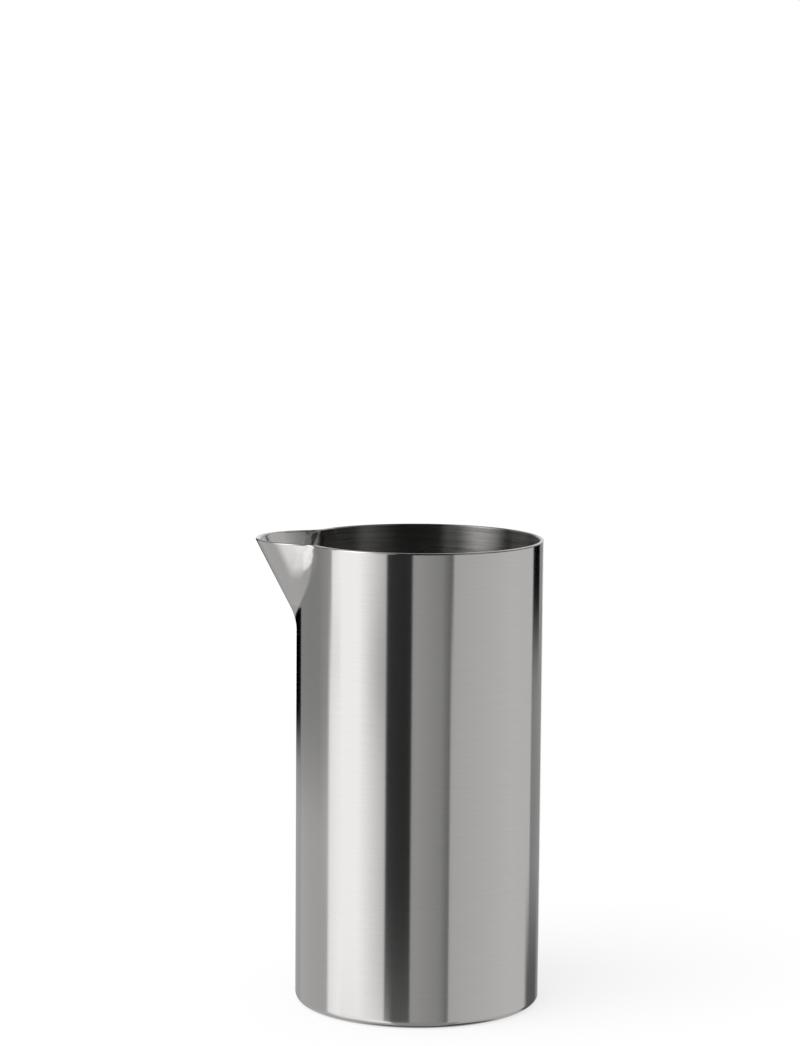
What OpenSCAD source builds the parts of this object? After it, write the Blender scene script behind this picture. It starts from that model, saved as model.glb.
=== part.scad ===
// Open cream jug in satin stainless steel: a straight tube, a pressed pouring lip welded into a notch
// in its rim, and a pressed base pan welded on below. The jug's axis is Z, its underside is at z = 0
// and the lip points towards -X. Sizes are in millimetres.

/* [Body] */
// Outside diameter of the tube
body_d = 50; // [40:1:80]
// Height from the table to the rim
body_h = 95; // [70:1:160]
// Thickness of the wall sheet, in the tube and in the spout
wall_t = 0.8; // [0.5:0.1:1.2]

/* [Spout] */
// How far the spout's tip stands out past the tube
spout_reach = 8.3; // [5:0.1:12]
// Height of the spout, from its root on the wall to the rim
spout_h = 16.6; // [12:0.2:30]
// Radius of the bend in the spout's front line, from the wall into the lean
front_bend_r = 11; // [6:0.5:16]
// Radius of the spout's round mouth at the rim, seen from above
mouth_r = 12.7; // [9:0.1:16]
// Inside radius of the same round at the spout's root
root_r = 0.2; // [0.1:0.1:2]
// Overhang at which that round has swollen by about two thirds
swell_reach = 4; // [2:0.1:9]
// Radius of the hollow blend from the wall into the spout, at the rim
rim_blend_r = 2.9; // [1.5:0.1:6]
// Radius of the same blend at the spout's root
root_blend_r = 25; // [8:0.5:32]
// Plain wall between that blend and the weld seam
seam_margin = 2; // [1:0.1:3]

/* [Base] */
// Thickness of the base sheet
base_t = 1; // [0.6:0.1:2]
// Height of the base pan's upturned edge, which carries the tube
base_edge_h = 4; // [3:0.5:10]
// Outside radius of the bend round the foot
foot_bend_r = 1.4; // [1.2:0.1:3]
// Width of the flat ring that the jug stands on
foot_ring_w = 3.6; // [2:0.2:8]
// Rise of the pressed-up panel inside that ring
panel_rise = 0.6; // [0.2:0.1:1.5]
// Width of the sloping border round that panel
panel_slope_w = 1.5; // [0.8:0.1:4]

/* [Hidden] */
steel = [0.72, 0.71, 0.70];
round_fn = 180;
cut_over = 1;
radian = 180 / PI;

tube_r = body_d / 2;
bore_r = tube_r - wall_t;
rim_r = wall_t / 2;
rim_z = body_h - rim_r;

// The spout's front line: the wall, an arc of front_bend_r, then a straight line that leans out to the rim
root_z = body_h - spout_h;
spout_lean = atan(spout_reach / (rim_z - root_z));
arc_reach = front_bend_r * tan(spout_lean / 2);
arc_low_z = root_z - arc_reach;
arc_high_z = root_z + arc_reach * cos(spout_lean);
notch_z = arc_low_z - seam_margin / 2;

// Facets of the spout: steps round half of it, up its arc, up its straight cone and over its rim
half_steps = 30;
arc_steps = 6;
cone_steps = 14;
rim_steps = 6;

// How late and how sharply the blend tightens on its way up to the rim
blend_late = 3.9;
blend_ease = 1.4;

foot_bend_in_r = max(0.2, foot_bend_r - wall_t);
ring_out_r = tube_r - foot_bend_r;
ring_in_r = ring_out_r - foot_ring_w;

// How far the spout's front line stands past the wall at a height
function overhang(z) =
    z <= arc_low_z ? 0
    : z < arc_high_z ? front_bend_r - sqrt(pow(front_bend_r, 2) - pow(z - arc_low_z, 2))
    : (z - root_z) * tan(spout_lean);

// A level cut through the spout is three arcs in a row: the mouth circle in front, a hollow blend arc, and
// the wall's own circle. With the overhang the mouth circle swells, quickly at first, and the blend, wide at
// the root, tightens close below the rim.
function swollen(over) = (1 - exp(-over / swell_reach)) / (1 - exp(-spout_reach / swell_reach));
function mouth_at(over) = root_r + wall_t + (mouth_r - root_r - wall_t) * swollen(over);
function blend_at(over) =
    let (tight = pow(min(1, over / spout_reach), blend_late))
    rim_blend_r + (root_blend_r - rim_blend_r) * pow(1 - tight, blend_ease);
function mouth_centre(over) = tube_r + over - mouth_at(over);

// Angle round the wall at which the blend arc leaves it: the blend's centre lies one blend radius outside
// both circles, so the two centres and it make a triangle with three known sides
function blend_angle(over) =
    let (
        to_axis = tube_r + blend_at(over),
        to_mouth = mouth_at(over) + blend_at(over),
        base = mouth_centre(over)
    ) acos(min(1, (pow(to_axis, 2) + pow(base, 2) - pow(to_mouth, 2)) / (2 * to_axis * base)));

// The point at a share (-1 to 1) of the way along the cut, which ends at the seam, half_w to each side.
// The face lies inset behind the outer one, so its arcs have the same centres. The spout points towards -X.
function cut_point(over, inset, half_w, share) =
    let (
        round_r = mouth_at(over) - inset,
        hollow_r = blend_at(over) + inset,
        wall_r = tube_r - inset,
        centre = mouth_centre(over),
        on_wall = blend_angle(over),
        hollow = arc_point(tube_r + blend_at(over), on_wall),
        on_mouth = atan2(hollow.y, hollow.x - centre),
        mouth_arc = round_r * on_mouth / radian,
        blend_arc = hollow_r * (on_mouth - on_wall) / radian,
        wall_arc = wall_r * (asin(half_w / wall_r) - on_wall) / radian,
        along = abs(share) * (mouth_arc + blend_arc + wall_arc),
        past_mouth = along - mouth_arc,
        past_blend = past_mouth - blend_arc,
        p = past_mouth < 0 ? [centre, 0] + arc_point(round_r, radian * along / round_r)
            : past_blend < 0 ? hollow - arc_point(hollow_r, on_mouth - radian * past_mouth / hollow_r)
            : arc_point(wall_r, on_wall + radian * past_blend / wall_r)
    ) [-p.x, sign(share) * p.y];
function arc_point(r, angle) = r * [cos(angle), sin(angle)];

// Half the notch's width at a height: the blend's foot on the wall, and plain wall beside it
function notch_half(z) =
    z < arc_low_z ? seam_margin - (arc_low_z - z)
    : tube_r * sin(blend_angle(overhang(z))) + seam_margin;

// Heights of the spout's rows, from the foot of the notch to the start of the round rim
spout_rows = [
    notch_z,
    for (i = [0 : arc_steps - 1]) arc_low_z + (arc_high_z - arc_low_z) * i / arc_steps,
    for (i = [0 : cone_steps]) arc_high_z + (rim_z - arc_high_z) * i / cone_steps
];
shares = [for (i = [-half_steps : half_steps]) i / half_steps];

// One row across a face of the spout, as 3-D points
function face_row(z, inset) =
    let (over = overhang(z), half_w = notch_half(z))
    [for (s = shares) concat(cut_point(over, inset, half_w, s), z)];
function outer_row(z) = face_row(z, 0);
function inner_row(z) = face_row(z, wall_t);

// One row over the round rim, at an angle that runs from the outer face (0) to the inner face (180)
function rim_row(angle) =
    let (outer = outer_row(rim_z), inner = inner_row(rim_z))
    [for (i = [0 : len(shares) - 1])
        (outer[i] + inner[i]) / 2 + (outer[i] - inner[i]) / 2 * cos(angle) + [0, 0, rim_r * sin(angle)]];

// A closed skin of triangles over rows of points that follow each other round in a loop. Its two ends are
// closed by strips across the sheet, from each outer row to the inner row behind it.
module loop_skin(rows) {
    n = len(rows);
    w = len(rows[0]);
    last = w - 1;
    sides = [
        for (j = [0 : n - 1], i = [0 : last - 1])
            let (a = j * w + i, b = (j + 1) % n * w + i)
            each [[a, b + 1, b], [a, a + 1, b + 1]]
    ];
    ends = [
        for (j = [0 : floor(n / 2) - 1])
            let (a = j * w, b = (j + 1) * w, c = (n - 2 - j) * w, d = (n - 1 - j) * w)
            each [
                [a, c, d], [a, b, c],
                [a + last, d + last, c + last], [a + last, c + last, b + last]
            ]
    ];
    whole_ends = [for (f = ends) if (f[0] != f[1] && f[1] != f[2] && f[2] != f[0]) f];
    polyhedron([for (row = rows) each row], concat(sides, whole_ends));
}

// The notch in the rim that the spout is welded into
module notch() {
    top_half = notch_half(rim_z);
    right = [for (z = spout_rows) [notch_half(z), z]];
    left = [for (i = [len(right) - 1 : -1 : 0]) [-right[i].x, right[i].y]];
    over_rim = [[top_half, body_h + cut_over], [-top_half, body_h + cut_over]];
    translate([-tube_r - cut_over, 0, 0])
        rotate([90, 0, 90])
            linear_extrude(tube_r + cut_over)
                polygon(concat(right, over_rim, left));
}

module body_tube() {
    color(steel)
        difference() {
            rotate_extrude($fn = round_fn) {
                translate([bore_r, base_edge_h])
                    square([wall_t, rim_z - base_edge_h]);
                translate([tube_r - rim_r, rim_z])
                    circle(r = rim_r, $fn = 32);
            }
            notch();
        }
}

module spout() {
    n = len(spout_rows);
    color(steel)
        loop_skin([
            for (z = spout_rows) outer_row(z),
            for (k = [1 : rim_steps - 1]) rim_row(180 * k / rim_steps),
            for (j = [n - 1 : -1 : 0]) inner_row(spout_rows[j])
        ]);
}

// Half of a flat-bottomed round shape of radius r up to height h, with a bend of radius bend at its foot
module pan_half(r, h, bend) {
    translate([0, bend])
        square([r, h - bend]);
    square([r - bend, h]);
    translate([r - bend, bend])
        circle(r = bend, $fn = 48);
}

// Half of the pressed-up panel, as the step that it lifts out of a flat bottom
module panel_half() {
    polygon([
        [0, -cut_over], [ring_in_r, -cut_over], [ring_in_r, 0],
        [ring_in_r - panel_slope_w, panel_rise], [0, panel_rise]
    ]);
}

module base() {
    color(steel)
        rotate_extrude($fn = round_fn)
            difference() {
                pan_half(tube_r, base_edge_h, foot_bend_r);
                panel_half();
                translate([0, base_t])
                    difference() {
                        pan_half(bore_r, base_edge_h, foot_bend_in_r);
                        panel_half();
                    }
            }
}

body_tube();
spout();
base();
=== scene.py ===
import math
import bpy
import numpy as np
from mathutils import Matrix, Vector


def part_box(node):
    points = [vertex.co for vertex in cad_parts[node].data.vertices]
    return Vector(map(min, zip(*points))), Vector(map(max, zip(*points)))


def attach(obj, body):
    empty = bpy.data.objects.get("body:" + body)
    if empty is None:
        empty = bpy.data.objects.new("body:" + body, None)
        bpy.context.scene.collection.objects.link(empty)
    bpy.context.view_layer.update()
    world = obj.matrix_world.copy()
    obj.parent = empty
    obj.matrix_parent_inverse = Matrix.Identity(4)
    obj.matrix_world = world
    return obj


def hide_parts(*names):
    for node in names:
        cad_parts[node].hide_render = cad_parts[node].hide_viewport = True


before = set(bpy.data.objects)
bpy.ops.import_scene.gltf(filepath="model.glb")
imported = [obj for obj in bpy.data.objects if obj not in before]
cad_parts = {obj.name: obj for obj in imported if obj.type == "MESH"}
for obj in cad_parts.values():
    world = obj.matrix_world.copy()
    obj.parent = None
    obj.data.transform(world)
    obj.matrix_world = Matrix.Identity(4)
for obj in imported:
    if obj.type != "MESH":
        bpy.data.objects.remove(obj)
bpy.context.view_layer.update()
print("frame loaded:", ", ".join(sorted(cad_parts)))

# Sizes in metres. The boxes of the CAD nodes give the outer sizes, the rest are the sheet's own.
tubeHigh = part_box("body_tube")[1]
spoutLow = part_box("spout")[0]
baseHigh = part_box("base")[1]

jug = {
    "tubeR": tubeHigh.x,          # outside of the tube
    "wall": 0.0008,               # sheet of the tube and the spout
    "top": tubeHigh.z,            # the rim
    "weldZ": baseHigh.z,          # where the tube stands on the base pan
    "columns": 360,               # steps round the jug
    "lowRows": 16,                # rows of the tube below the notch
    "notchSteps": 6,              # steps across the foot of the notch
    "rimSteps": 24,               # steps over the round rim
    "rimCrisp": 3.0,              # 2 is a half circle, more is flatter on top and on both sides
}
jug["boreR"] = jug["tubeR"] - jug["wall"]
jug["rimR"] = jug["wall"] / 2
jug["rimZ"] = jug["top"] - jug["rimR"]

spout = {
    "reach": -spoutLow.x - jug["tubeR"],   # tip past the tube
    "height": 0.0166,                      # root to rim
    "bendR": 0.011,                        # bend of the front line, from the wall into the lean
    "mouthR": 0.0127,                      # round mouth at the rim, from above
    "rootR": 0.0002,                       # inside radius of the same round at the root
    "swellReach": 0.004,                   # overhang at which that round has swollen by two thirds
    "rimBlendR": 0.0046,                   # hollow blend into the wall at the rim
    "rootBlendR": 0.025,                   # and at the root
    "blendLate": 3.9,                      # how late and how sharply that blend tightens
    "blendEase": 1.4,
    "seamMargin": 0.002,                   # plain wall beside that blend
    "halfColumns": 110,                    # steps across half of it
    "arcRows": 12,                         # rows up its bend
    "coneRows": 46,                        # and up its straight lean
}
spout["rootZ"] = jug["top"] - spout["height"]
spout["lean"] = math.atan2(spout["reach"], jug["rimZ"] - spout["rootZ"])
bendReach = spout["bendR"] * math.tan(spout["lean"] / 2)
spout["arcLow"] = spout["rootZ"] - bendReach
spout["arcHigh"] = spout["rootZ"] + bendReach * math.cos(spout["lean"])
outerFace = {"wallR": jug["tubeR"], "inset": 0.0}
innerFace = {"wallR": jug["boreR"], "inset": jug["wall"]}


def overhang(z):
    # the spout's front line past the wall: none, then an arc of bendR, then a straight lean
    up = np.clip(z - spout["arcLow"], 0, spout["arcHigh"] - spout["arcLow"])
    arc = spout["bendR"] - np.sqrt(spout["bendR"] ** 2 - up ** 2)
    return np.where(z < spout["arcHigh"], arc, (z - spout["rootZ"]) * math.tan(spout["lean"]))


def levelCut(z, face):
    # mouth circle, its centre, the blend and its angles on the wall and on the mouth. With the overhang
    # the mouth swells (1 minus an exponential) and the blend tightens (a power of 1 minus a power); the
    # blend's centre lies one blend radius outside both circles, a triangle with three known sides
    over = overhang(z)
    share = np.clip(over / spout["reach"], 0, 1)
    full = 1 - math.exp(-spout["reach"] / spout["swellReach"])
    swollen = (1 - np.exp(-over / spout["swellReach"])) / full
    rootR = spout["rootR"] + jug["wall"]
    roundR = rootR + (spout["mouthR"] - rootR) * swollen - face["inset"]
    loose = (1 - share ** spout["blendLate"]) ** spout["blendEase"]
    blendR = spout["rimBlendR"] + (spout["rootBlendR"] - spout["rimBlendR"]) * loose + face["inset"]
    centre = face["wallR"] + over - roundR
    toAxis = face["wallR"] + blendR
    toMouth = roundR + blendR
    onWall = np.arccos(np.minimum(1, (toAxis ** 2 + centre ** 2 - toMouth ** 2) / (2 * toAxis * centre)))
    onMouth = np.arctan2(toAxis * np.sin(onWall), toAxis * np.cos(onWall) - centre)
    return roundR, centre, blendR, onWall, onMouth


def notchHalf(z):
    # half the notch's width: the blend's foot on the wall and the plain margin beside it
    onWall = levelCut(np.maximum(z, spout["arcLow"]), outerFace)[3]
    below = np.maximum(spout["arcLow"] - z, 0)
    return jug["tubeR"] * np.sin(onWall) + spout["seamMargin"] - below


def spoutPoint(z, share, face):
    # share -1 to 1 runs along a level cut, by length: mouth arc in front, hollow blend arc, wall arc
    roundR, centre, blendR, onWall, onMouth = levelCut(z, face)
    wallR = face["wallR"]
    mouthArc = roundR * onMouth
    blendArc = blendR * (onMouth - onWall)
    wallArc = wallR * (np.arcsin(notchHalf(z) / wallR) - onWall)
    along = np.abs(share) * (mouthArc + blendArc + wallArc)
    atMouth = along / np.maximum(roundR, 1e-12)
    atBlend = onMouth - (along - mouthArc) / blendR
    atWall = onWall + (along - mouthArc - blendArc) / wallR
    inMouth = along < mouthArc
    inBlend = along < mouthArc + blendArc
    hollowX = (wallR + blendR) * np.cos(onWall)
    hollowY = (wallR + blendR) * np.sin(onWall)
    x = np.where(inMouth, centre + roundR * np.cos(atMouth),
                 np.where(inBlend, hollowX - blendR * np.cos(atBlend), wallR * np.cos(atWall)))
    y = np.where(inMouth, roundR * np.sin(atMouth),
                 np.where(inBlend, hollowY - blendR * np.sin(atBlend), wallR * np.sin(atWall)))
    return np.stack([-x, np.sign(share) * y, z + 0 * share], axis=-1)


def unit(v):
    # each vector divided by its own length
    return v / np.maximum(np.linalg.norm(v, axis=-1, keepdims=True), 1e-15)


def spoutNormal(z, share, face, outward):
    # cross product of the two small steps along the surface, turned to the side that outward names
    stepShare, stepZ = 1e-4, 1e-6
    across = spoutPoint(z, share + stepShare, face) - spoutPoint(z, share - stepShare, face)
    upward = spoutPoint(z + stepZ, share, face) - spoutPoint(z - stepZ, share, face)
    normal = unit(np.cross(upward, across))
    radial = spoutPoint(z, share, face) * (1, 1, 0)
    turned = np.sum(normal * radial, axis=-1, keepdims=True) * outward < 0
    return np.where(turned, -normal, normal)


def patch(points, normals, path, inside=0):
    # a grid of points with its normals, the length along the profile for the grain, and its finish
    points = np.asarray(points, float)
    shape = points.shape[:2]
    around = np.broadcast_to(np.linspace(0, 1, shape[1])[None, :], shape)
    return {
        "points": points,
        "normals": np.broadcast_to(np.asarray(normals, float), points.shape),
        "path": np.broadcast_to(np.asarray(path, float), shape),
        "around": around,
        "inside": inside,
    }


mergePerMetre = 1e8               # border points are one where they agree to a hundredth of a micron


def skinMesh(name, patches, materials):
    # each grid cell is two triangles that face the way of the grid's normals; points that meet on the
    # borders of two grids are merged, and triangles that a pole has shrunk to a line are left out
    corners, finish, start = [], [], 0
    for p in patches:
        rows, cols = p["points"].shape[:2]
        at = np.arange(rows * cols).reshape(rows, cols)
        a, b, c, d = at[:-1, :-1], at[:-1, 1:], at[1:, 1:], at[1:, :-1]
        tris = np.stack([np.stack([a, b, c], -1), np.stack([a, c, d], -1)], 2).reshape(-1, 3)
        flat = p["points"].reshape(-1, 3)
        facing = np.cross(flat[tris[:, 1]] - flat[tris[:, 0]], flat[tris[:, 2]] - flat[tris[:, 0]])
        if np.sum(facing * p["normals"].reshape(-1, 3)[tris[:, 0]]) < 0:
            tris = tris[:, ::-1]
        corners.append(tris + start)
        finish.append(np.full(len(tris), p["inside"]))
        start += rows * cols
    corners, finish = np.concatenate(corners), np.concatenate(finish)
    points = np.concatenate([p["points"].reshape(-1, 3) for p in patches])
    normals = unit(np.concatenate([p["normals"].reshape(-1, 3) for p in patches]))
    path = np.concatenate([p["path"].ravel() for p in patches])
    around = np.concatenate([p["around"].ravel() for p in patches])
    keys = np.round(points * mergePerMetre).astype(np.int64)
    _, first, merged = np.unique(keys, axis=0, return_index=True, return_inverse=True)
    tris = merged.reshape(-1)[corners]
    whole = (tris[:, 0] != tris[:, 1]) & (tris[:, 1] != tris[:, 2]) & (tris[:, 2] != tris[:, 0])
    tris, corners, finish = tris[whole], corners[whole], finish[whole]

    mesh = bpy.data.meshes.new(name)
    mesh.vertices.add(len(first))
    mesh.vertices.foreach_set("co", points[first].astype(np.float32).ravel())
    mesh.loops.add(tris.size)
    mesh.loops.foreach_set("vertex_index", tris.astype(np.int32).ravel())
    mesh.polygons.add(len(tris))
    mesh.polygons.foreach_set("loop_start", np.arange(0, tris.size, 3, dtype=np.int32))
    mesh.polygons.foreach_set("material_index", finish.astype(np.int32))
    mesh.update(calc_edges=True)
    mesh.shade_smooth()
    grain = mesh.attributes.new("grainPath", "FLOAT", "POINT")
    grain.data.foreach_set("value", path[first].astype(np.float32))
    brush = mesh.uv_layers.new(name="brush")
    uv = np.stack([around[corners.ravel()], path[corners.ravel()]], -1)
    brush.data.foreach_set("uv", uv.astype(np.float32).ravel())
    for m in materials:
        mesh.materials.append(m)
    mesh.normals_split_custom_set(normals[corners.ravel()])
    piece = bpy.data.objects.new(name, mesh)
    bpy.context.scene.collection.objects.link(piece)
    print("made", name, "with", len(tris), "triangles")
    return piece


# Steel

satinLook = {
    "color": (0.60, 0.592, 0.583),
    "roughness": 0.11,
    "streak": 0.015,           # how much the roughness wanders from line to line
    "shade": 0.02,             # how much the colour does
    "anisotropic": 0.5,        # how much wider the gloss spreads across the lines than along them
    "linesAcross": 4200,       # grain lines per metre up the wall
    "linesAlong": 140,         # how soon a line changes round the jug
    "grainHeight": 8.0e-8,     # depth of the lines
}
# the inside: brushed, with a colour darker than the outside's that paints in the shade inside the jug
brushedShadedLook = {
    "color": (0.37, 0.365, 0.36),
    "roughness": 0.29,
    "streak": 0.06,
    "shade": 0.22,
    "anisotropic": 1.0,
    "linesAcross": 1900,
    "linesAlong": 75,
    "grainHeight": 2.2e-6,
}


grainNoise = {
    "detail": 3,               # steps of ever finer lines
    "roughness": 0.6,          # how strong the finer ones are
    "darkEnd": 0.3,            # noise at which the colour is darkest and lightest
    "lightEnd": 0.7,
    "turn": 0.25,              # turns the spread of the gloss across the lines
}


def steelMaterial(name, look):
    # metal whose grain follows the grainPath attribute: fine across the lines, slow along them
    material = bpy.data.materials.new(name)
    material.use_nodes = True
    nodes, links = material.node_tree.nodes, material.node_tree.links
    steel = nodes["Principled BSDF"]
    steel.inputs["Metallic"].default_value = 1
    steel.inputs["Anisotropic"].default_value = look["anisotropic"]
    steel.inputs["Anisotropic Rotation"].default_value = grainNoise["turn"]

    place = nodes.new("ShaderNodeTexCoord")
    split = nodes.new("ShaderNodeSeparateXYZ")
    path = nodes.new("ShaderNodeAttribute")
    path.attribute_name = "grainPath"
    join = nodes.new("ShaderNodeCombineXYZ")
    scale = nodes.new("ShaderNodeVectorMath")
    scale.operation = "MULTIPLY"
    scale.inputs[1].default_value = (look["linesAlong"], look["linesAlong"], look["linesAcross"])
    links.new(place.outputs["Object"], split.inputs[0])
    links.new(split.outputs["X"], join.inputs["X"])
    links.new(split.outputs["Y"], join.inputs["Y"])
    links.new(path.outputs["Fac"], join.inputs["Z"])
    links.new(join.outputs[0], scale.inputs[0])

    grain = nodes.new("ShaderNodeTexNoise")
    grain.inputs["Scale"].default_value = 1
    grain.inputs["Detail"].default_value = grainNoise["detail"]
    grain.inputs["Roughness"].default_value = grainNoise["roughness"]
    links.new(scale.outputs[0], grain.inputs["Vector"])

    shade = nodes.new("ShaderNodeValToRGB")
    shade.color_ramp.elements[0].position = grainNoise["darkEnd"]
    shade.color_ramp.elements[1].position = grainNoise["lightEnd"]
    shade.color_ramp.elements[0].color = (*(c * (1 - look["shade"]) for c in look["color"]), 1)
    shade.color_ramp.elements[1].color = (*(c * (1 + look["shade"]) for c in look["color"]), 1)
    links.new(grain.outputs["Fac"], shade.inputs["Fac"])
    links.new(shade.outputs["Color"], steel.inputs["Base Color"])

    rough = nodes.new("ShaderNodeMapRange")
    rough.inputs["To Min"].default_value = look["roughness"] - look["streak"]
    rough.inputs["To Max"].default_value = look["roughness"] + look["streak"]
    links.new(grain.outputs["Fac"], rough.inputs["Value"])
    links.new(rough.outputs["Result"], steel.inputs["Roughness"])

    bump = nodes.new("ShaderNodeBump")
    bump.inputs["Strength"].default_value = 1
    bump.inputs["Distance"].default_value = look["grainHeight"]
    links.new(grain.outputs["Fac"], bump.inputs["Height"])
    links.new(bump.outputs["Normal"], steel.inputs["Normal"])

    along = nodes.new("ShaderNodeTangent")
    along.direction_type = "UV_MAP"
    along.uv_map = "brush"
    links.new(along.outputs["Tangent"], steel.inputs["Tangent"])
    return material


satinSteel = steelMaterial("satinSteelOutside", satinLook)
brushedShadedSteel = steelMaterial("brushedShadedSteelInside", brushedShadedLook)
finishes = [satinSteel, brushedShadedSteel]
print("steel ready")


# Tube, spout and base

def ringPoint(angle, radius, z):
    # angle 0 points at the spout, towards -X
    return np.stack([-radius * np.cos(angle), radius * np.sin(angle), z + 0 * angle], axis=-1)


def ringNormal(angle):
    # straight out from the axis
    return np.stack([-np.cos(angle), np.sin(angle), 0 * angle], axis=-1)


def rimPatches(outer, inner, facing, inside):
    # a superellipse from the outer face, over the top, to the inner face: the cosine and the sine of the
    # turn, both to the power 2 / rimCrisp. Its normals, their powers rimCrisp - 1, turn likewise from the
    # outer face's own normal, over the sheet's upward direction. The outer half has the outside's finish,
    # the inner half that of the inner face, which on the tube carries the painted shade of the inside
    turn = np.linspace(0, np.pi, jug["rimSteps"] + 1)[:, None, None]
    crisp = jug["rimCrisp"]
    aside = np.sign(np.cos(turn)) * np.abs(np.cos(turn)) ** (2 / crisp)
    above = np.abs(np.sin(turn)) ** (2 / crisp)
    side = (outer - inner)[None] / 2
    up = np.array([0, 0, 1.0])
    points = (outer + inner)[None] / 2 + side * aside + up * jug["rimR"] * above
    sheetUp = unit(up - facing * facing[:, 2:])
    slope = crisp - 1
    normals = facing[None] * np.sign(aside) * np.abs(aside) ** slope + sheetUp[None] * above ** slope
    path = jug["top"] + turn[:, :, 0] * jug["rimR"] + 0 * outer[None, :, 0]
    crest = jug["rimSteps"] // 2
    return points, [
        patch(points[:crest + 1], normals[:crest + 1], path[:crest + 1]),
        patch(points[crest:], normals[crest:], path[crest:], inside),
    ]


def seamPatches(outer, inner, rim, column, towards):
    # the weld face at one end of a sheet: across the sheet up to the rim, then across the rim
    strip = np.stack([outer[:, column], inner[:, column]], axis=1)
    half = jug["rimSteps"] // 2
    cap = np.stack([rim[: half + 1, column], rim[::-1][: half + 1, column]], axis=1)
    return [patch(strip, towards, strip[:, :, 2]), patch(cap, towards, cap[:, :, 2])]


notchRows = np.concatenate([
    [spout["arcLow"] - spout["seamMargin"] / 2],
    np.linspace(spout["arcLow"], spout["arcHigh"], spout["arcRows"], endpoint=False),
    np.linspace(spout["arcHigh"], jug["rimZ"], spout["coneRows"]),
])[:, None]


def makeTube():
    # upper part: angle runs from one edge of the notch round to the other; lower part: a full ring
    turn = np.linspace(0, 1, jug["columns"] + 1)[None, :]
    floorTurn = np.linspace(0, 1, jug["notchSteps"] + 1)
    lowRows = np.linspace(jug["weldZ"], notchRows[0, 0], jug["lowRows"])[:, None]
    patches, upper, facing, floorEdge, weldEdge = [], [], [], [], []
    for radius, sign in ((jug["tubeR"], 1), (jug["boreR"], -1)):
        edge = np.arcsin(notchHalf(notchRows) / radius)
        angle = edge + turn * (2 * np.pi - 2 * edge)
        points = ringPoint(angle, radius, notchRows)
        upper.append(points)
        facing.append(ringNormal(angle[-1]))
        patches.append(patch(points, sign * ringNormal(angle), notchRows, int(sign < 0)))
        across = -edge[0] + floorTurn * 2 * edge[0]
        low = np.concatenate([angle[0], across[1:] + 2 * np.pi])[None, :] + 0 * lowRows
        points = ringPoint(low, radius, lowRows)
        patches.append(patch(points, sign * ringNormal(low), lowRows, int(sign < 0)))
        weldEdge.append(points[0])
        floorEdge.append(points[-1, jug["columns"]:])
    rim, rimHalves = rimPatches(upper[0][-1], upper[1][-1], facing[0], 1)
    patches += rimHalves
    patches += seamPatches(upper[0], upper[1], rim, 0, (0, -1, 0))
    patches += seamPatches(upper[0], upper[1], rim, -1, (0, 1, 0))
    patches.append(patch(np.stack(floorEdge), (0, 0, 1), notchRows[0, 0]))
    patches.append(patch(np.stack(weldEdge), (0, 0, -1), jug["weldZ"]))
    return skinMesh("bodyTube", patches, finishes)


def makeSpout():
    # outer and inner face over the same rows and shares, the foot, the rim and both weld faces
    share = np.linspace(-1, 1, 2 * spout["halfColumns"] + 1)[None, :]
    outer = spoutPoint(notchRows, share, outerFace)
    inner = spoutPoint(notchRows, share, innerFace)
    facing = spoutNormal(notchRows, share, outerFace, 1)
    rim, rimHalves = rimPatches(outer[-1], inner[-1], facing[-1], 0)
    patches = [
        patch(outer, facing, notchRows),
        patch(inner, spoutNormal(notchRows, share, innerFace, -1), notchRows),
        patch(np.stack([outer[0], inner[0]]), (0, 0, -1), notchRows[0, 0]),
    ] + rimHalves
    patches += seamPatches(outer, inner, rim, 0, (0, -1, 0))
    patches += seamPatches(outer, inner, rim, -1, (0, 1, 0))
    return skinMesh("pouringSpout", patches, finishes)


pan = {
    "sheet": 0.001,
    "bendR": 0.0014,           # outside and inside of the bend round the foot
    "bendInR": 0.0006,
    "ringWidth": 0.0036,       # flat ring that the jug stands on
    "panelRise": 0.0006,       # pressed-up panel inside that ring
    "panelSlope": 0.0015,
    "wallSteps": 6,            # steps down the upturned edge, then inwards over each part
    "bendSteps": 16,
    "ringSteps": 8,
    "riseSteps": 24,
    "flatSteps": 19,
}


def panelLine(floorZ, reach):
    # from the foot ring inwards: a flat ring, a soft rise like half a cosine wave, then the flat panel
    ringIn = jug["tubeR"] - pan["bendR"] - pan["ringWidth"]
    ringR = np.linspace(reach, ringIn, pan["ringSteps"], endpoint=False)
    t = np.linspace(0, 1, pan["riseSteps"] + 1)
    riseZ = floorZ + pan["panelRise"] * (1 - np.cos(np.pi * t)) / 2
    flatR = np.linspace(ringIn - pan["panelSlope"], 0, pan["flatSteps"] + 1)[1:]
    return np.concatenate([
        np.stack([ringR, np.full_like(ringR, floorZ)], -1),
        np.stack([ringIn - t * pan["panelSlope"], riseZ], -1),
        np.stack([flatR, np.full_like(flatR, floorZ + pan["panelRise"])], -1),
    ])


def bendLine(centreR, centreZ, bend, topZ):
    # the wall downwards, then a quarter circle into the floor
    wallZ = np.linspace(topZ, centreZ, pan["wallSteps"], endpoint=False)
    wall = np.stack([np.full_like(wallZ, centreR + bend), wallZ], -1)
    t = np.linspace(0, -np.pi / 2, pan["bendSteps"] + 1)
    arc = np.stack([centreR + bend * np.cos(t), centreZ + bend * np.sin(t)], -1)
    return np.concatenate([wall, arc])


def spun(profile, sign, inside=0):
    # a profile of radius and height carried round the axis; its normals turn its own steps by a quarter
    steps = unit(np.gradient(profile, axis=0))
    turn = np.linspace(0, 2 * np.pi, jug["columns"] + 1)[None, :]
    radius, z = profile[:, :1], profile[:, 1:]
    points = ringPoint(turn + 0 * radius, radius, z)
    outwards, upwards = -sign * steps[:, 1:, None], sign * steps[:, :1, None]
    normals = ringNormal(turn) * outwards + np.array([0, 0, 1.0]) * upwards
    length = np.concatenate([[0], np.cumsum(np.linalg.norm(np.diff(profile, axis=0), axis=1))])
    return patch(points, normals, jug["weldZ"] - length[:, None], inside)


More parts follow.
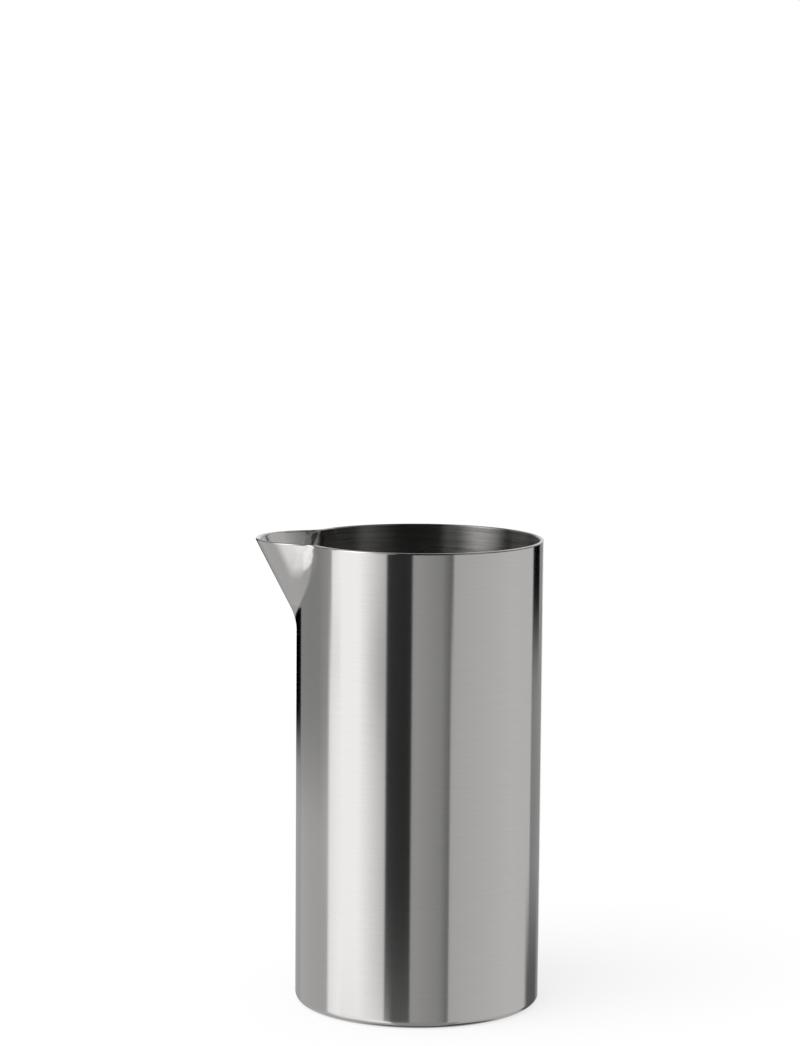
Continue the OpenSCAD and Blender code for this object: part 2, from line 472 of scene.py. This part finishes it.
def makeBase():
    # two spun profiles, one below and one inside, joined by the edge that carries the tube
    under = np.concatenate([
        bendLine(jug["tubeR"] - pan["bendR"], pan["bendR"], pan["bendR"], jug["weldZ"]),
        panelLine(0.0, jug["tubeR"] - pan["bendR"])[1:],
    ])
    innerCentre = jug["boreR"] - pan["bendInR"]
    inside = np.concatenate([
        bendLine(innerCentre, pan["sheet"] + pan["bendInR"], pan["bendInR"], jug["weldZ"]),
        panelLine(pan["sheet"], innerCentre)[1:],
    ])
    outerSkin, innerSkin = spun(under, 1), spun(inside, -1, 1)
    edge = np.stack([outerSkin["points"][0], innerSkin["points"][0]])
    return skinMesh("basePan", [outerSkin, innerSkin, patch(edge, (0, 0, 1), jug["weldZ"])], finishes)


for piece, node in ((makeTube(), "body_tube"), (makeSpout(), "spout"), (makeBase(), "base")):
    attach(piece, "root")
    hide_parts(node)
print("jug made")


# Camera, floor and light

camera = {
    "lens": 107.1,             # millimetres, as the sensor
    "sensor": 36,
    "clipStart": 0.01,
    "distance": 0.6249,
    "height": 0.1722,
    "pitch": 6.769,            # degrees, looking down
    "yaw": -0.381,
    "roll": 0.421,
}


def makeCamera():
    # forward is turned by yaw and pitch, then right and up are turned about it by roll
    pitch, yaw, roll = (math.radians(camera[k]) for k in ("pitch", "yaw", "roll"))
    ahead = math.cos(pitch)
    forward = Vector((math.sin(yaw) * ahead, math.cos(yaw) * ahead, -math.sin(pitch)))
    level = Vector((math.cos(yaw), -math.sin(yaw), 0))
    right = level * math.cos(roll) + level.cross(forward) * math.sin(roll)
    up = right.cross(forward)
    lens = bpy.data.cameras.new("photoCamera")
    lens.lens = camera["lens"]
    lens.sensor_width = camera["sensor"]
    lens.clip_start = camera["clipStart"]
    eye = bpy.data.objects.new("photoCamera", lens)
    turn = Matrix((right, up, -forward)).transposed().to_4x4()
    eye.matrix_world = Matrix.Translation((0, -camera["distance"], camera["height"])) @ turn
    bpy.context.scene.collection.objects.link(eye)
    bpy.context.scene.camera = eye


tent = {
    "radius": 0.6,
    "low": -0.3,               # its floor and its roof
    "high": 0.7,
    "fill": 0.3,               # brightness where no panel hangs
    "stepsRound": 1440,
    "stepsUp": 220,
}
# Panels hung in the tent, later ones over earlier ones: from and to azimuth in degrees (0 at the camera,
# + to its right), from and to level in metres, brightness at both ends, and how soft the side edges and
# the level edges are. Levels run from the middle of the tent's floor (-0.9) up the wall (-0.3 to 0.7) to
# the middle of its roof (1.3).
panels = [
    # grey table all round, dark where the jug shades it, dark room above it, a dim ceiling that is lighter
    # on the left, and the white room behind
    {"at": (-180, 180), "level": (-1.0, -0.2), "tone": (0.58, 0.58), "soft": (0.1, 0.04)},
    {"at": (-180, 180), "level": (-1.0, -0.77), "tone": (0.14, 0.14), "soft": (0.1, 0.1)},
    {"at": (42, 135), "level": (-1.0, -0.66), "tone": (0.1, 0.1), "soft": (8, 0.08)},
    {"at": (-180, 180), "level": (0.08, 0.7), "tone": (0.01, 0.01), "soft": (0.1, 0.04)},
    {"at": (-180, 180), "level": (0.7, 1.4), "tone": (0.07, 0.07), "soft": (0.1, 0.1)},
    {"at": (-140, -35), "level": (0.72, 1.1), "tone": (0.4, 0.4), "soft": (10, 0.06)},
    {"at": (160, 181), "level": (-0.3, 0.08), "tone": (1.0, 1.0), "soft": (4, 0.04)},
    # left, behind: table below, dark room above it, light under the ceiling
    {"at": (-182, -143), "level": (-0.4, -0.058), "tone": (0.41, 0.46), "soft": (2, 0.06)},
    {"at": (-143, -89), "level": (-0.4, -0.058), "tone": (0.54, 0.58), "soft": (4, 0.06)},
    {"at": (-182, -104), "level": (-0.058, 0.08), "tone": (0.29, 0.32), "soft": (2, 0.06)},
    {"at": (-106, -85), "level": (-0.058, 0.08), "tone": (0.32, 0.45), "soft": (2, 0.06)},
    {"at": (-172, -143.8), "level": (-0.06, 0.05), "tone": (0.0, 0.0), "soft": (1.5, 0.02)},
    {"at": (-182, -100), "level": (0.08, 0.36), "tone": (0.1, 0.1), "soft": (8, 0.04)},
    {"at": (-182, -146), "level": (0.08, 0.4), "tone": (0.55, 0.55), "soft": (4, 0.04)},
    {"at": (-174, -157), "level": (0.06, 0.27), "tone": (1.0, 1.0), "soft": (3, 0.04)},
    {"at": (-155, -105), "level": (0.27, 0.65), "tone": (0.6, 0.6), "soft": (8, 0.05)},
    # bright table on the left, the bright left side that fades towards the camera, and its lamp higher up
    {"at": (-91, -25), "level": (-0.51, -0.1), "tone": (1.06, 1.3), "soft": (20, 0.13)},
    {"at": (-140, -91), "level": (-0.2, -0.1), "tone": (0.56, 0.54), "soft": (3, 0.05)},
    {"at": (-91, -76), "level": (-0.19, -0.015), "tone": (1.2, 1.39), "soft": (3.5, 0.04)},
    {"at": (-88, -76), "level": (-0.02, 0.12), "tone": (1.25, 1.39), "soft": (2, 0.04)},
    {"at": (-77, -50), "level": (-0.165, 0.12), "tone": (1.39, 1.39), "soft": (1, 0.04)},
    {"at": (-106, -81.5), "level": (0.05, 0.14), "tone": (0.32, 0.42), "soft": (2, 0.03)},
    {"at": (-57, -30), "level": (-0.165, 0.12), "tone": (1.39, 0.72), "soft": (0.3, 0.03)},
    {"at": (-51, -30), "level": (-0.04, -0.007), "tone": (1.0, 0.3), "soft": (12, 0.04)},
    {"at": (-38, -24), "level": (0.1, 0.62), "tone": (0.45, 0.45), "soft": (5, 0.05)},
    {"at": (-84, -49), "level": (0.12, 0.9), "tone": (2.35, 2.35), "soft": (26, 0.04)},
    # black card beside the camera, lighter at its foot
    {"at": (-30, -6.5), "level": (-0.3, 0.12), "tone": (0.04, 0.03), "soft": (0.8, 0.02)},
    {"at": (-30, -6.5), "level": (-0.3, -0.155), "tone": (0.18, 0.18), "soft": (0.8, 0.06)},
    # grey front
    {"at": (-6.5, 20), "level": (-0.4, 0.08), "tone": (0.46, 0.34), "soft": (0.5, 0.02)},
    {"at": (20, 29), "level": (-0.4, 0.08), "tone": (0.34, 0.16), "soft": (0.3, 0.02)},
    {"at": (-25, 42), "level": (-0.77, -0.2), "tone": (0.38, 0.34), "soft": (4, 0.05)},
    # light grey right side, with a dark end
    {"at": (28.6, 95), "level": (-0.3, 0.08), "tone": (0.585, 0.72), "soft": (0.5, 0.03)},
    {"at": (20, 30.4), "level": (-0.008, 0.08), "tone": (0.34, 0.12), "soft": (0.3, 0.03)},
    {"at": (95, 128), "level": (-0.3, 0.08), "tone": (0.72, 0.68), "soft": (0.3, 0.03)},
    {"at": (128, 161), "level": (-0.4, 0.08), "tone": (0.31, 0.35), "soft": (2, 0.02)},
    {"at": (122, 150), "level": (-0.4, -0.13), "tone": (0.13, 0.13), "soft": (6, 0.04)},
    {"at": (129, 146), "level": (-0.018, 0.1), "tone": (0.0, 0.0), "soft": (1, 0.03)},
    # the same side higher up, and light behind it with a dark gap
    {"at": (30, 66), "level": (0.1, 0.36), "tone": (0.04, 0.04), "soft": (12, 0.03)},
    {"at": (27, 43), "level": (0.3, 0.38), "tone": (0.26, 0.3), "soft": (4, 0.05)},
    {"at": (36, 66), "level": (0.15, 0.36), "tone": (0.24, 0.24), "soft": (8, 0.05)},
    {"at": (26, 90), "level": (0.36, 0.5), "tone": (0.26, 0.63), "soft": (8, 0.04)},
    {"at": (85, 134), "level": (0.36, 0.53), "tone": (0.63, 0.63), "soft": (4, 0.05)},
    {"at": (98, 134), "level": (0.26, 0.4), "tone": (0.63, 0.63), "soft": (4, 0.05)},
    {"at": (98, 174), "level": (0.44, 0.72), "tone": (0.6, 0.6), "soft": (8, 0.05)},
    {"at": (60, 174), "level": (0.72, 1.04), "tone": (0.42, 0.42), "soft": (12, 0.06)},
    {"at": (162, 192), "level": (0.12, 0.42), "tone": (0.9, 0.9), "soft": (4, 0.04)},
    {"at": (128, 166), "level": (0.1, 0.42), "tone": (0.45, 0.68), "soft": (4, 0.04)},
    {"at": (134.5, 139.5), "level": (0.2, 0.34), "tone": (0.05, 0.05), "soft": (2, 0.04)},
    # bright table in front, on the left
    {"at": (-50, -25), "level": (-0.51, -0.18), "tone": (1.3, 1.3), "soft": (4, 0.03)},
]


def ramp(x, low, high, soft):
    # 1 between low and high, falling to 0 over a soft width at each end
    return np.clip((x - low) / soft + 0.5, 0, 1) * np.clip((high - x) / soft + 0.5, 0, 1)


def tentTone(azimuth, level):
    # each panel is mixed over what lies below it, by its cover, which its soft edges bring down to 0
    tone = np.full(np.broadcast(azimuth, level).shape, tent["fill"])
    for p in panels:
        (start, stop), (left, right) = p["at"], p["tone"]
        middle = (start + stop) / 2
        local = (azimuth - middle + 180) % 360 - 180 + middle
        share = np.clip((local - start) / (stop - start), 0, 1)
        aside = ramp(local, start, stop, p["soft"][0]) if stop - start < 360 else 1
        cover = aside * ramp(level, *p["level"], p["soft"][1])
        tone = tone * (1 - cover) + (left + (right - left) * share) * cover
    return tone


def toneMesh(name, points, tone, material):
    # a sheet of light: a grid of points whose brightness is stored on them
    rows, cols = points.shape[:2]
    at = np.arange(rows * cols).reshape(rows, cols)
    quads = np.stack([at[:-1, :-1], at[:-1, 1:], at[1:, 1:], at[1:, :-1]], -1).reshape(-1, 4)
    mesh = bpy.data.meshes.new(name)
    mesh.from_pydata(points.reshape(-1, 3).tolist(), [], quads.tolist())
    mesh.attributes.new("tone", "FLOAT", "POINT").data.foreach_set("value", tone.astype(np.float32).ravel())
    mesh.materials.append(material)
    sheet = bpy.data.objects.new(name, mesh)
    bpy.context.scene.collection.objects.link(sheet)
    # only reflections see the tent, so it throws no light or shadow on the floor
    for ray in ("camera", "diffuse", "transmission", "volume_scatter", "shadow"):
        setattr(sheet, "visible_" + ray, False)


def glowMaterial():
    # light as strong as the tone on the points
    material = bpy.data.materials.new("tentGlow")
    material.use_nodes = True
    nodes, links = material.node_tree.nodes, material.node_tree.links
    nodes.remove(nodes["Principled BSDF"])
    glow = nodes.new("ShaderNodeEmission")
    tone = nodes.new("ShaderNodeAttribute")
    tone.attribute_name = "tone"
    links.new(tone.outputs["Fac"], glow.inputs["Strength"])
    links.new(glow.outputs[0], nodes["Material Output"].inputs["Surface"])
    material.cycles.emission_sampling = "NONE"
    return material


def makeTent():
    # a drum round the jug: the level runs out along the floor, up the wall and in over the roof
    azimuth = np.linspace(-180, 180, tent["stepsRound"] + 1)[None, :]
    radius, low, high = tent["radius"], tent["low"], tent["high"]
    level = np.linspace(low - radius, high + radius, tent["stepsUp"] + 1)[:, None]
    angle = np.radians(azimuth)
    z = np.clip(level, low, high)
    reach = radius - np.abs(level - z)
    points = np.stack([reach * np.sin(angle), -reach * np.cos(angle), z + 0 * angle], -1)
    toneMesh("tent", points, tentTone(azimuth, level), glowMaterial())


def seenRays(nodes, links):
    # 1 for rays from the camera, a mirror or glass
    light = nodes.new("ShaderNodeLightPath")
    either = nodes.new("ShaderNodeMath")
    either.operation = "MAXIMUM"
    links.new(light.outputs["Is Camera Ray"], either.inputs[0])
    links.new(light.outputs["Is Glossy Ray"], either.inputs[1])
    all3 = nodes.new("ShaderNodeMath")
    all3.operation = "MAXIMUM"
    links.new(either.outputs[0], all3.inputs[0])
    links.new(light.outputs["Is Transmission Ray"], all3.inputs[1])
    return all3.outputs[0]


studio = {
    "skyLight": 0.7,           # the room's own light on the floor
    "floorColor": 0.95,
    "floorGlow": 0.72,         # share of the floor that stays white in the shadow
    "floorSize": 12.0,
    "floorZ": -0.00002,        # just below the foot ring
    "sunStrength": 1.6,
    "sunSpread": 50,           # degrees, for a soft shadow
    "sunFrom": (-0.6, -0.5, 1.2),
}


def makeStudio():
    # a white room, a white paper floor that keeps a faint shadow, and one soft sun
    scene = bpy.context.scene
    scene.view_settings.view_transform = "Standard"
    world = bpy.data.worlds.new("whiteRoom")
    scene.world = world
    world.use_nodes = True
    world.cycles.sampling_method = "NONE"
    nodes, links = world.node_tree.nodes, world.node_tree.links
    strength = nodes.new("ShaderNodeMapRange")
    strength.inputs["To Min"].default_value = studio["skyLight"]
    strength.inputs["To Max"].default_value = 1.0
    links.new(seenRays(nodes, links), strength.inputs["Value"])
    room = nodes["Background"]
    room.inputs["Color"].default_value = (1, 1, 1, 1)
    links.new(strength.outputs["Result"], room.inputs["Strength"])

    half, z = studio["floorSize"] / 2, studio["floorZ"]
    corners = [(-half, -half, z), (half, -half, z), (half, half, z), (-half, half, z)]
    mesh = bpy.data.meshes.new("floor")
    mesh.from_pydata(corners, [], [(0, 1, 2, 3)])
    floor = bpy.data.objects.new("floor", mesh)
    scene.collection.objects.link(floor)
    floor.visible_glossy = False
    paper = bpy.data.materials.new("whitePaper")
    paper.use_nodes = True
    nodes, links = paper.node_tree.nodes, paper.node_tree.links
    nodes.remove(nodes["Principled BSDF"])
    matt = nodes.new("ShaderNodeBsdfDiffuse")
    matt.inputs["Color"].default_value = (studio["floorColor"],) * 3 + (1,)
    glow = nodes.new("ShaderNodeEmission")
    share = nodes.new("ShaderNodeMath")
    share.operation = "MULTIPLY"
    share.inputs[1].default_value = studio["floorGlow"]
    links.new(seenRays(nodes, links), share.inputs[0])
    mix = nodes.new("ShaderNodeMixShader")
    links.new(share.outputs[0], mix.inputs["Fac"])
    links.new(matt.outputs[0], mix.inputs[1])
    links.new(glow.outputs[0], mix.inputs[2])
    links.new(mix.outputs[0], nodes["Material Output"].inputs["Surface"])
    mesh.materials.append(paper)

    lamp = bpy.data.lights.new("softSun", "SUN")
    lamp.energy = studio["sunStrength"]
    lamp.angle = math.radians(studio["sunSpread"])
    holder = bpy.data.objects.new("softSun", lamp)
    holder.location = studio["sunFrom"]
    holder.rotation_euler = (-Vector(studio["sunFrom"])).to_track_quat("-Z", "Y").to_euler()
    holder.visible_glossy = False
    scene.collection.objects.link(holder)


makeCamera()
makeTent()
makeStudio()
print("studio ready")
